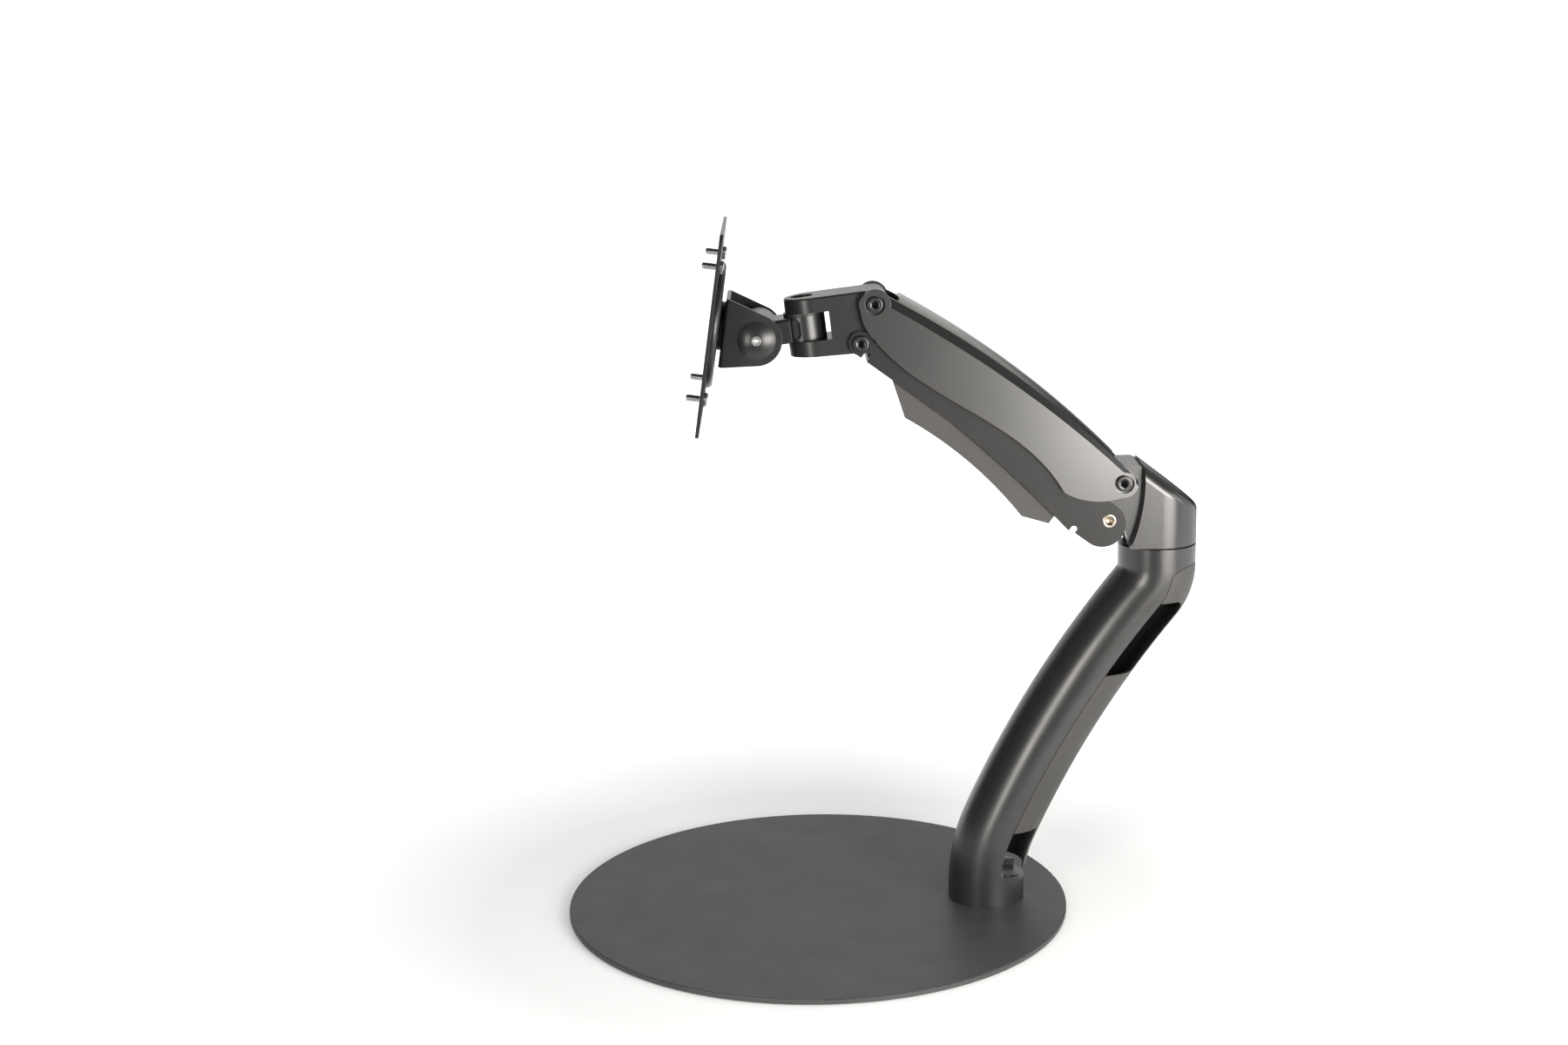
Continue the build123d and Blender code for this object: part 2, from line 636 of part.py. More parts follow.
def shell_side():
    """Side view of the shell; its top is trimmed by the crown."""
    rear = (-SHELL_REAR_R, 0)
    haunch = (HAUNCH_AT, -HAUNCH_DROP)
    chin = (ARM_LENGTH - CHIN_BACK, -CHIN_DROP)
    chin_end = (ARM_LENGTH - CHIN_END_BACK, -CHIN_END_DROP)
    front = (ARM_LENGTH + SHELL_FRONT_R, 0)
    belly = Spline(haunch, (ARM_LENGTH / 2, -BELLY_DROP), chin, chin_end)
    lower = [RadiusArc(rear, haunch, -HAUNCH_R), belly, RadiusArc(chin_end, front, -CHIN_R)]
    upper = Polyline(front, (ARM_LENGTH, 0), (ARM_LENGTH, FAR), (0, FAR), REAR_PLACE, rear)
    return filled(*lower, upper) + spot(REAR_PLACE, SHELL_REAR_R) + spot(FRONT_PLACE, SHELL_FRONT_R)


def shell_plan():
    """Plan view of the shell with gently bowed sides."""
    half = SHELL_END_W / 2
    start = -SHELL_REAR_R
    end = ARM_LENGTH + SHELL_FRONT_R
    middle = (start + end) / 2
    near = ThreePointArc((start, -half), (middle, -half - SHELL_BULGE), (end, -half))
    far = ThreePointArc((end, half), (middle, half + SHELL_BULGE), (start, half))
    return filled(near, Line((end, -half), (end, half)), far, Line((start, half), (start, -half)))


def pivot_bosses():
    """Bosses for the pivot screws on the far side, with a larger disc on the front ear."""
    near = LUG_W / 2 + SIDE_CLEAR
    front = rod(FRONT_PLACE, 2 * PIVOT_BOSS_R, near, SHELL_W)
    front += rod(FRONT_PLACE, 2 * EAR_DISC_R, SHELL_CAVITY_W / 2 + EAR_DISC_IN, SHELL_W)
    return rod(REAR_PLACE, 2 * PIVOT_BOSS_R, near, SHELL_W), front


def screw_hole(place):
    """Bore for a pivot pin with a counterbore for the screw at each end; its seam faces up."""
    hole = rod((0, 0), PIVOT_PIN_D + 2 * SLIP_CLEAR, -SHELL_W, SHELL_W)
    hole += rod((0, 0), COUNTERBORE_D, PIVOT_SEAT, SHELL_W)
    hole += rod((0, 0), COUNTERBORE_D, -SHELL_W, -PIVOT_SEAT)
    return Pos(*place) * Rot(0, 0, 90) * hole


def arm_shell():
    plan = extrude(Plane.XZ * shell_plan(), FAR, both=True)
    shell = crowned_bar(SHELL_W, 0) & slab(shell_side(), SHELL_W) & plan
    shell -= crowned_bar(SHELL_CAVITY_W, SHELL_WALL)
    gap = LUG_W + 2 * SIDE_CLEAR
    ends = block(-FAR, CROWN_SLOT_REAR, -CROWN_SLOT_FOOT, FAR)
    ends += block(ARM_LENGTH - CROWN_SLOT_FRONT, FAR, -CROWN_SLOT_FOOT, FAR)
    shell -= slab(ends, gap)
    anchor = (SPRING_ANCHOR_AT, 0)
    anchor_boss = rod(anchor, 2 * SPRING_BOSS_R, SPRING_EYE_W / 2 + SIDE_CLEAR, SHELL_CAVITY_W / 2)
    anchor_boss -= rod(anchor, SPRING_PIN_D + 2 * SLIP_CLEAR, 0, LUG_W / 2 + SEAT_CLEAR)
    for boss in (*pivot_bosses(), anchor_boss):
        boss &= plan
        shell += boss
        shell += mirror(boss, about=Plane.XY)
    return ARM.location * (shell - screw_hole(REAR_PLACE) - screw_hole(FRONT_PLACE))


def pivot_pin(place):
    return ARM.location * tapped_pin(place, PIVOT_PIN_D, PIVOT_SEAT - SEAT_CLEAR, SCREW_SHANK_D)


def pivot_screws(place):
    return ARM.location * both_sides(button_screw(place, PIVOT_SEAT, SCREW_SHANK_D))


# Gas spring, along the line from its anchor to the middle of its lower pin's travel
def spring_plane():
    half_turn = radians((LIFT_DOWN + LIFT_UP) / 2)
    middle = Vector(*spring_pin_local(SPRING_MID_TURN)) * ((1 + cos(half_turn)) / 2)
    anchor = Vector(SPRING_ANCHOR_AT, 0, 0)
    return Plane(origin=anchor, x_dir=middle - anchor, z_dir=(0, 0, 1))


SPRING = spring_plane()
SPRING_EYE_AT = SPRING.to_local_coords(Vector(*spring_pin_local(0))).X
SPRING_TUBE_END = SPRING_EYE_AT - SPRING_ROD_SHOWN


def gas_spring_cylinder():
    tube = bar(SPRING_TUBE_D, SPRING_TUBE_FROM, SPRING_TUBE_END)
    tube = fillet(tube.edges().filter_by(GeomType.CIRCLE), SPRING_TUBE_EDGE_R)
    tube += bar(SPRING_NECK_D, 0, SPRING_TUBE_FROM) + slab(Circle(SPRING_EYE_R), SPRING_EYE_W)
    tube -= rod((0, 0), SPRING_PIN_D + 2 * SLIP_CLEAR, -SPRING_EYE_W, SPRING_EYE_W)
    tube -= bar(SPRING_ROD_D + 2 * RUN_CLEAR, SPRING_TUBE_FROM + SPRING_CAP_L, SPRING_TUBE_END)
    return ARM.location * SPRING.location * tube


def gas_spring_rod():
    eye = (SPRING_EYE_AT, 0)
    piece = bar(SPRING_ROD_D, SPRING_TUBE_END - SPRING_ROD_IN, SPRING_EYE_AT)
    piece += slab(spot(eye, SPRING_EYE_R), SPRING_EYE_W)
    piece -= rod(eye, SPRING_PIN_D + 2 * SPRING_EYE_FLOAT, -SPRING_EYE_W, SPRING_EYE_W)
    return ARM.location * SPRING.location * piece


def anchor_pin():
    return ARM.location * rod((SPRING_ANCHOR_AT, 0), SPRING_PIN_D, -LUG_W / 2, LUG_W / 2)


# Lower link and cable clip, in the arm's side view
def link_foot(start, end, rise=0.0):
    """Side view of everything above the lower edge of the link, moved up by rise."""
    heel = (LINK_WEB_REAR, rise - LINK_HEEL_DROP)
    waist = (ARM_LENGTH - LINK_WAIST_BACK, rise - LINK_WAIST_DROP)
    rest = Polyline(waist, (LINK_FRONT[0], waist[1]), (LINK_FRONT[0], 0), (LINK_WEB_REAR, 0), heel)
    return filled(RadiusArc(heel, waist, LINK_SWEEP_R), rest) & block(start, end, -FAR, 0)


def relief(at, drop):
    """Side view of the round-ended notch beside an end of the web."""
    top = RELIEF_DEPTH - drop - RELIEF_W / 2
    return block(at - RELIEF_W / 2, at + RELIEF_W / 2, -FAR, top) + spot((at, top), RELIEF_W / 2)


def link_side():
    """Side plate of the link."""
    rear_end = shifted(LINK_REAR, LINK_END_AHEAD, -LINK_END_DROP)
    bend = (ARM_LENGTH - LINK_TOP_END_BACK, -LINK_TOP)
    dip = (ARM_LENGTH - LINK_TOP_FRONT_BACK, -LINK_TOP_FRONT)
    top = Polyline((LINK_WEB_REAR, -LINK_TOP), bend, dip, (LINK_FRONT[0], -LINK_TOP_FRONT))
    rest = Polyline(top @ 1, (LINK_FRONT[0], -FAR), (LINK_WEB_REAR, -FAR), top @ 0)
    plate = filled(top, rest) & link_foot(LINK_WEB_REAR, LINK_FRONT[0])
    plate += block(rear_end[0], LINK_WEB_REAR, rear_end[1] - LINK_END_R, -LINK_TOP)
    plate += spot(rear_end, LINK_END_R) + spot(LINK_FRONT, LINK_FRONT_R)
    plate -= relief(LINK_WEB_REAR - RELIEF_W / 2, LINK_HEEL_DROP)
    return plate - relief(LINK_WEB_FRONT + RELIEF_W / 2, LINK_WAIST_DROP)


def hook_slots(grow):
    """Places of the clip's hooks along the web, seen from the side."""
    half = HOOK_L / 2 + grow
    places = (HOOK_REAR_AT, ARM_LENGTH - HOOK_FRONT_BACK)
    return Sketch() + [block(at - half, at + half, -FAR, 0) for at in places]


def lower_link():
    plates = slab(link_side(), LINK_W) - slab(block(-FAR, FAR, -FAR, 0), LINK_INNER_W)
    web = link_foot(LINK_WEB_REAR, LINK_WEB_FRONT) - link_foot(LINK_WEB_REAR, LINK_WEB_FRONT, LINK_WALL)
    link = plates + slab(web, LINK_W)
    slots = hook_slots(SLIP_CLEAR) & link_foot(LINK_WEB_REAR, LINK_WEB_FRONT)
    inner = CLIP_W - 2 * CLIP_WALL - 2 * HOOK_BARB
    link -= slab(slots, CLIP_W + 2 * SLIP_CLEAR) - slab(slots, inner)
    link -= rod(LINK_REAR, RIVET_D + 2 * SLIP_CLEAR, -LINK_W, LINK_W)
    link -= rod(LINK_FRONT, LINK_PIN_D + 2 * SLIP_CLEAR, -LINK_W, LINK_W)
    return ARM.location * link


def rear_link_rivets():
    """Short rivet through each side plate into the hub's lug, clear of the spring slot."""
    end = LINK_W / 2 + RIVET_HEAD_T
    rivet = rod(LINK_REAR, RIVET_D, SPRING_SLOT_W / 2 + SIDE_CLEAR, end)
    rivet += rod(LINK_REAR, RIVET_HEAD_D, LINK_W / 2, end)
    return ARM.location * both_sides(rivet - rod(LINK_REAR, RIVET_HOLE_D, 0, end))


def front_link_pin():
    return ARM.location * tapped_pin(LINK_FRONT, LINK_PIN_D, LINK_W / 2 - SEAT_CLEAR, LINK_SCREW_D)


def front_link_screws():
    return ARM.location * both_sides(button_screw(LINK_FRONT, LINK_W / 2, LINK_SCREW_D))


def clip_floor(rise=0.0):
    """Curved floor of the clip, moved up by rise."""
    rear = (CLIP_FLOOR_REAR_AT, rise - CLIP_FLOOR_REAR_DROP)
    front = (CLIP_FLOOR_FRONT_AT, rise - CLIP_FLOOR_FRONT_DROP)
    middle = ((CLIP_FLOOR_REAR_AT + CLIP_FLOOR_FRONT_AT) / 2, rise - CLIP_FLOOR_MID_DROP)
    return ThreePointArc(rear, middle, front)


def clip_hooks(low, high):
    """Side view of the hooks between two heights above the underside of the web."""
    return hook_slots(0) & (link_foot(0, LINK_FRONT[0], low) - link_foot(0, LINK_FRONT[0], high))


def cable_clip():
    """Channel with slanting ends that hooks into the web of the link."""
    outer = clip_floor()
    nose = Polyline(outer @ 1, (CLIP_FRONT, -LINK_WAIST_DROP), (CLIP_FRONT, 0), (CLIP_REAR, 0))
    tail = Polyline((CLIP_REAR, 0), (CLIP_REAR, -CLIP_REAR_DROP), outer @ 0)
    side = filled(outer, nose, tail) - link_foot(0, LINK_FRONT[0], -SEAT_CLEAR)
    floor = clip_floor(CLIP_WALL)
    front = Polyline(floor @ 1, (CLIP_FRONT, CLIP_WALL - CLIP_REAR_DROP), (CLIP_FRONT, 0), (CLIP_REAR, 0))
    rear = Polyline((CLIP_REAR, 0), (CLIP_REAR, -2 * CLIP_REAR_DROP), floor @ 0)
    inner = CLIP_W - 2 * CLIP_WALL
    clip = slab(side, CLIP_W) - slab(filled(floor, front, rear), inner)
    web_top = LINK_WALL + SEAT_CLEAR
    stems = clip_hooks(-CLIP_WALL, LINK_WALL + HOOK_RISE)
    barbs = clip_hooks(web_top, web_top + HOOK_BARB_H)
    clip += slab(stems, CLIP_W) - slab(stems, inner)
    clip += slab(barbs, CLIP_W) - slab(barbs, inner - 2 * HOOK_BARB)
    return ARM.location * clip


# Clevis and swivel, in the clevis's side view
CLEVIS_LINK = in_plane(CLEVIS, shifted(CLEVIS_PIVOT, *DROP))


def in_fork(part):
    """Lay a part built upright about the swivel pin into the clevis's side view."""
    return Pos(SWIVEL_AT, 0, 0) * Rot(-90, 0, 0) * part


def clevis():
    nose_r = LUG_W / 2
    side = make_hull((spot(REAR_PLACE, CLEVIS_LUG_R) + spot(CLEVIS_LINK, CLEVIS_TAIL_R)).edges())
    nose = Polyline((0, CLEVIS_TOP), (CLEVIS_NOSE_AT, CLEVIS_TOP), (CLEVIS_NOSE_AT, -CLEVIS_FOOT_FRONT))
    tail = Polyline(nose @ 1, (CLEVIS_LINK[0], -CLEVIS_FOOT_REAR), CLEVIS_LINK, REAR_PLACE, nose @ 0)
    side += filled(nose, tail)
    plan = block(-CLEVIS_NOSE_AT, CLEVIS_NOSE_AT - nose_r, -nose_r, nose_r)
    plan += spot((CLEVIS_NOSE_AT - nose_r, 0), nose_r)
    body = slab(side, LUG_W) & extrude(Plane.XZ * plan, FAR, both=True)
    body = fillet(body.faces().sort_by(Axis.Y)[-1].edges().sort_by(Axis.X)[1:], CLEVIS_EDGE_R)
    body -= slab(block(FORK_ROOT_AT, FAR, -FORK_FOOT, -FORK_TOP), 2 * LUG_W)
    body -= in_fork(post(SWIVEL_PIN_D + 2 * SLIP_CLEAR, -FAR, FAR))
    body -= in_fork(post(SWIVEL_HEAD_D + 2 * SLIP_CLEAR, SWIVEL_SEAT, FAR))
    body -= in_fork(post(SWIVEL_HEAD_D + 2 * SLIP_CLEAR, -FAR, SWIVEL_NUT_SEAT))
    body -= rod(REAR_PLACE, PIVOT_PIN_D + 2 * RUN_CLEAR, -LUG_W, LUG_W)
    body -= rod(CLEVIS_LINK, LINK_PIN_D + 2 * OPEN_PIVOT_CLEAR, -LUG_W, LUG_W)
    return CLEVIS.location * body


def swivel_bolt():
    bolt = post(SWIVEL_HEAD_D, SWIVEL_SEAT, SWIVEL_SEAT + SWIVEL_HEAD_T)
    bolt += post(SWIVEL_PIN_D, SWIVEL_NUT_SEAT, SWIVEL_SEAT)
    bolt += post(SWIVEL_THREAD_D, SWIVEL_NUT_SEAT - SWIVEL_NUT_T, SWIVEL_NUT_SEAT)
    return CLEVIS.location * in_fork(bolt)


def swivel_nut():
    nut = post(SWIVEL_HEAD_D, SWIVEL_NUT_SEAT - SWIVEL_NUT_T, SWIVEL_NUT_SEAT)
    nut -= post(SWIVEL_THREAD_D + 2 * SLIP_CLEAR, -FAR, FAR)
    return CLEVIS.location * in_fork(nut)


def swivel_washer():
    top = -FORK_TOP - SEAT_CLEAR
    washer = post(2 * BARREL_R, top - SWIVEL_WASHER_T, top)
    washer -= post(SWIVEL_PIN_D + 2 * RUN_CLEAR, -FAR, FAR)
    return CLEVIS.location * in_fork(washer)


# Knuckle
def knuckle():
    barrel = in_fork(post(2 * BARREL_R, -KNUCKLE_FOOT, -KNUCKLE_TOP))
    neck = slab(block(SWIVEL_AT + NECK_FROM, NECK_REACH, -KNUCKLE_FOOT, -KNUCKLE_TOP), NECK_W)
    neck = fillet(neck.edges().filter_by(Axis.X), NECK_EDGE_R)
    tilt = (NECK_REACH, -NECK_DROP)
    cross = rod(tilt, 2 * TILT_BARREL_R, -TILT_BARREL_W / 2, TILT_BARREL_W / 2)
    cross = fillet(cross.edges().filter_by(GeomType.CIRCLE), TILT_EDGE_R)
    stop_place = Pos(SWIVEL_AT + STOP_AHEAD, -(KNUCKLE_TOP + KNUCKLE_FOOT) / 2)
    stop = stop_place * Rot(0, 0, 90) * SlotOverall(STOP_L, STOP_W)
    piece = barrel + neck + cross
    piece -= slab(stop, 2 * BARREL_R) - slab(stop, 2 * BARREL_R - 2 * STOP_DEPTH)
    piece -= in_fork(post(SWIVEL_PIN_D + 2 * RUN_CLEAR, -FAR, FAR))
    piece -= rod(tilt, TILT_BOLT_D + 2 * RUN_CLEAR, -BRACKET_W, BRACKET_W)
    return CLEVIS.location * piece


# Tilt bracket, in the head's side view
def head_bar(d, start, end):
    """Round bar along the axis of the plate."""
    return Pos(0, HEAD_RISE) * bar(d, start, end)


def dome():
    """Low dome on the near cheek with a hole for the tilt bolt's head."""
    cap_r = (DOME_H ** 2 + (DOME_D / 2) ** 2) / (2 * DOME_H)
    face = BRACKET_W / 2
    cap = Pos(0, 0, face + DOME_H - cap_r) * Sphere(cap_r)
    cap &= rod((0, 0), DOME_D, CHEEK_INNER, BRACKET_W)
    return cap


def tilt_bracket():
    web = block(WEB_AT - BRACKET_T, WEB_AT, -WEB_FOOT, WEB_TOP)
    bracket = slab(make_hull((spot((0, 0), CHEEK_R) + web).edges()), BRACKET_W)
    bracket = fillet(bracket.edges().filter_by(Axis.Y).group_by(Axis.X)[-1], BRACKET_BEND_R)
    bracket -= slab(block(-FAR, WEB_AT - BRACKET_T, -FAR, FAR), 2 * CHEEK_INNER)
    bracket += both_sides(dome())
    bracket -= both_sides(rod((0, 0), TILT_HEAD_D + 2 * SLIP_CLEAR, TILT_SEAT, BRACKET_W))
    bracket -= rod((0, 0), TILT_BOLT_D + 2 * SLIP_CLEAR, -BRACKET_W, BRACKET_W)
    bracket -= head_bar(ROTATION_BOLT_D + 2 * SLIP_CLEAR, 0, PLATE_SIZE)
    return HEAD.location * bracket


def tilt_bolt():
    """Bolt from the near side; its thin end screws into the sleeve nut."""
    bolt = rod((0, 0), TILT_HEAD_D, -TILT_SEAT - TILT_HEAD_T, -TILT_SEAT)
    bolt += rod((0, 0), TILT_BOLT_D, -TILT_SEAT, TILT_NUT_FROM - SEAT_CLEAR)
    bolt += rod((0, 0), TILT_THREAD_D, 0, TILT_NUT_FROM + TILT_THREAD_L)
    bolt -= hex_socket((0, 0), HEX_ACROSS, -TILT_SEAT - TILT_HEAD_T, HEX_DEPTH)
    return HEAD.location * bolt


def tilt_nut():
    nut = rod((0, 0), TILT_BOLT_D, TILT_NUT_FROM, TILT_SEAT)
    nut += rod((0, 0), TILT_HEAD_D, TILT_SEAT, TILT_SEAT + TILT_HEAD_T)
    nut -= rod((0, 0), TILT_THREAD_D + 2 * SLIP_CLEAR, 0, TILT_NUT_FROM + TILT_THREAD_L + SEAT_CLEAR)
    nut -= hex_socket((0, 0), HEX_ACROSS, TILT_SEAT + TILT_HEAD_T - HEX_DEPTH, HEX_DEPTH)
    return HEAD.location * nut


def tilt_washers():
    near = TILT_BARREL_W / 2 + SEAT_CLEAR
    washer = rod((0, 0), TILT_WASHER_D, near, CHEEK_INNER)
    washer -= rod((0, 0), TILT_BOLT_D + 2 * SLIP_CLEAR, near, CHEEK_INNER)
    return HEAD.location * both_sides(washer)


# VESA head
def rotation_spacer():
    spacer = head_bar(SPACER_D, WEB_AT, DISC_AT - SEAT_CLEAR)
    return HEAD.location * (spacer - head_bar(ROTATION_BOLT_D + 2 * SLIP_CLEAR, WEB_AT, DISC_AT))


def rotation_bolt():
    bolt = head_bar(ROTATION_BOLT_D, WEB_AT - BRACKET_T - ROTATION_FLANGE_T, PLATE_AT + SEAT_CLEAR)
    bolt += head_bar(ROTATION_FLANGE_D, WEB_AT - BRACKET_T - ROTATION_FLANGE_T, WEB_AT - BRACKET_T)
    bolt += head_bar(ROTATION_HEAD_D, PLATE_AT + SEAT_CLEAR, PLATE_AT + SEAT_CLEAR + ROTATION_HEAD_T)
    return HEAD.location * bolt


def rotation_disc():
    disc = head_bar(DISC_D, DISC_AT, PLATE_AT)
    disc = fillet(disc.edges().group_by(Axis.X)[0], DISC_EDGE_R)
    return HEAD.location * (disc - head_bar(ROTATION_BOLT_D + 2 * RUN_CLEAR, DISC_AT, PLATE_AT))


PLATE = Plane(origin=(PLATE_AT, HEAD_RISE, 0), x_dir=(0, 0, 1), z_dir=(1, 0, 0))


def at_corners(pitch, part):
    return [place * part for place in GridLocations(pitch, pitch, 2, 2)]


def vesa_plate():
    outline = RectangleRounded(PLATE_SIZE, PLATE_SIZE, PLATE_CORNER_R) - Circle(PLATE_HOLE_D / 2)
    outline -= at_corners(VESA_LARGE, Circle(VESA_HOLE_D / 2))
    outline -= at_corners(VESA_SMALL, Circle(VESA_HOLE_D / 2))
    return HEAD.location * extrude(PLATE * outline, PLATE_T)


def vesa_screws():
    """Screws for the smaller hole pattern: heads behind the plate, necks in it, shanks ahead of it."""
    screw = post(VESA_HEAD_D, -VESA_HEAD_T, 0)
    screw = fillet(screw.edges().group_by(Axis.Z)[0], SCREW_EDGE_R)
    screw += post(VESA_HOLE_D - 2 * SLIP_CLEAR, 0, PLATE_T)
    screw += post(VESA_SCREW_D, PLATE_T, PLATE_T + VESA_SCREW_L)
    screw -= hex_socket((0, 0), VESA_SOCKET, -VESA_HEAD_T, VESA_SOCKET_DEPTH)
    return HEAD.location * PLATE.location * Compound(children=at_corners(VESA_SMALL, screw))


NODES = {
    "base_plate": base_plate(),
    "base_pad": base_pad(),
    "foot_bolts": foot_bolts(),
    "column": column(),
    "column_cover": column_cover(),
    "swivel_spindle": swivel_spindle(),
    "thrust_washer": thrust_washer(),
    "spindle_bush": spindle_bush(),
    "hub": hub(),
    "spring_pin": spring_pin(),
    "rear_pivot_washers": pivot_washers(REAR_PLACE),
    "arm_shell": arm_shell(),
    "rear_pivot_pin": pivot_pin(REAR_PLACE),
    "front_pivot_pin": pivot_pin(FRONT_PLACE),
    "rear_pivot_screws": pivot_screws(REAR_PLACE),
    "front_pivot_screws": pivot_screws(FRONT_PLACE),
    "gas_spring_cylinder": gas_spring_cylinder(),
    "gas_spring_anchor_pin": anchor_pin(),
    "gas_spring_rod": gas_spring_rod(),
    "lower_link": lower_link(),
    "rear_link_rivets": rear_link_rivets(),
    "front_link_pin": front_link_pin(),
    "front_link_screws": front_link_screws(),
    "cable_clip": cable_clip(),
    "clevis": clevis(),
    "front_pivot_washers": pivot_washers(FRONT_PLACE),
    "swivel_bolt": swivel_bolt(),
    "swivel_nut": swivel_nut(),
    "swivel_washer": swivel_washer(),
    "knuckle": knuckle(),
    "tilt_bracket": tilt_bracket(),
    "tilt_bolt": tilt_bolt(),
    "tilt_nut": tilt_nut(),
    "tilt_washers": tilt_washers(),
    "rotation_spacer": rotation_spacer(),
    "rotation_bolt": rotation_bolt(),
    "rotation_disc": rotation_disc(),
    "vesa_plate": vesa_plate(),
    "vesa_screws": vesa_screws(),
}

os.makedirs("parts", exist_ok=True)
for name, part in NODES.items():
    export_step(part, f"parts/{name}.step")
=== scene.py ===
import json
import math

import bmesh
import bpy
from mathutils import Matrix, Vector


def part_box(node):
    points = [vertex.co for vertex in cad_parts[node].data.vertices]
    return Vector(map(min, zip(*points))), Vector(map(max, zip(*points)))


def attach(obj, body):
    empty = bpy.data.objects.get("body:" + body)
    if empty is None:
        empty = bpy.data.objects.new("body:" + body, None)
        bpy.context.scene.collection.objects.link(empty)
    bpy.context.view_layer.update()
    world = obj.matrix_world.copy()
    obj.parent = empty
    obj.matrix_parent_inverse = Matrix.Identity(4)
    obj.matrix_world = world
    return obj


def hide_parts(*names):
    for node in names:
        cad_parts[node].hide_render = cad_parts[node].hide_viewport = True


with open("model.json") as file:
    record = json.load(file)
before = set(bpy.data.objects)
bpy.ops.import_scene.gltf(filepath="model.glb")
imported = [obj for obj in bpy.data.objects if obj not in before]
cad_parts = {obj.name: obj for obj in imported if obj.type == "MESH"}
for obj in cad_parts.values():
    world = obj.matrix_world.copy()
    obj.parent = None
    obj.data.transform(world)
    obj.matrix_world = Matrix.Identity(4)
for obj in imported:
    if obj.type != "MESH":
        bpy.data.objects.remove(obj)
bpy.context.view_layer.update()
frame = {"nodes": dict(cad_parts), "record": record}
nodes = frame["nodes"]
record = frame["record"]
slot_of = {part["node"]: part["material_slot"] for part in record["subparts"]}
scene = bpy.context.scene

MM = 0.001
MICRON = 0.000001
FULL_TURN = 2 * math.pi
SHARP_ANGLE = math.radians(28)
WHITE = (1, 1, 1, 1)

# Materials; noise scales are per metre
NOISE_RANGE = (0.3, 0.7)    # nearly all noise values lie in it
TONE_SCALE = 18.0
TONE_DETAIL = 5.0
GLOSS_SCALE = 2.3 * TONE_SCALE
GLOSS_DETAIL = 6.0
GRAIN_DETAIL = 2.0
COAT_ROUGH = 0.28
COAT_IOR = 1.8
EDGE_R = 0.4 * MM
EDGE_SAMPLES = 12
EDGE_WORN = 0.78            # cosine between rounded and true normal on a fully worn edge
EDGE_WHOLE = 0.985          # and where the wear starts


def node(tree, kind, **values):
    """New node; a value goes to the input of that name, or else to the setting of that name."""
    made = tree.nodes.new(kind)
    for key, value in values.items():
        if key in made.inputs:
            made.inputs[key].default_value = value
        else:
            setattr(made, key, value)
    return made


def noise(tree, coords, scale, detail):
    made = node(tree, "ShaderNodeTexNoise", Scale=scale, Detail=detail)
    tree.links.new(coords, made.inputs["Vector"])
    return made.outputs["Fac"]


def spread(tree, value, low, high, start, end):
    """Maps start to end onto low to high, and no further."""
    made = node(tree, "ShaderNodeMapRange")
    made.inputs["From Min"].default_value = start
    made.inputs["From Max"].default_value = end
    made.inputs["To Min"].default_value = low
    made.inputs["To Max"].default_value = high
    tree.links.new(value, made.inputs["Value"])
    return made.outputs["Result"]


def uneven(tree, coords, scale, detail, low, high):
    """Noise spread between low and high."""
    return spread(tree, noise(tree, coords, scale, detail), low, high, *NOISE_RANGE)


def blend(tree, kind, factor, first, second):
    """Mix of two colours or vectors, each a plain colour or another node's output."""
    mix = node(tree, "ShaderNodeMix", data_type=kind)
    tree.links.new(factor, mix.inputs["Factor"])
    for name, value in (("A", first), ("B", second)):
        if isinstance(value, tuple):
            mix.inputs[name].default_value = (*value, 1)
        else:
            tree.links.new(value, mix.inputs[name])
    return mix.outputs["Result"]


def worn_edges(tree):
    """Factor that rises from 0 on faces to 1 along sharp edges, and a normal that rounds those edges only."""
    rounded = node(tree, "ShaderNodeBevel", samples=EDGE_SAMPLES, Radius=EDGE_R).outputs["Normal"]
    true = node(tree, "ShaderNodeNewGeometry").outputs["Normal"]
    cosine = node(tree, "ShaderNodeVectorMath", operation="DOT_PRODUCT")
    tree.links.new(rounded, cosine.inputs[0])
    tree.links.new(true, cosine.inputs[1])
    worn = spread(tree, cosine.outputs["Value"], 1.0, 0.0, EDGE_WORN, EDGE_WHOLE)
    return worn, blend(tree, "VECTOR", worn, true, rounded)


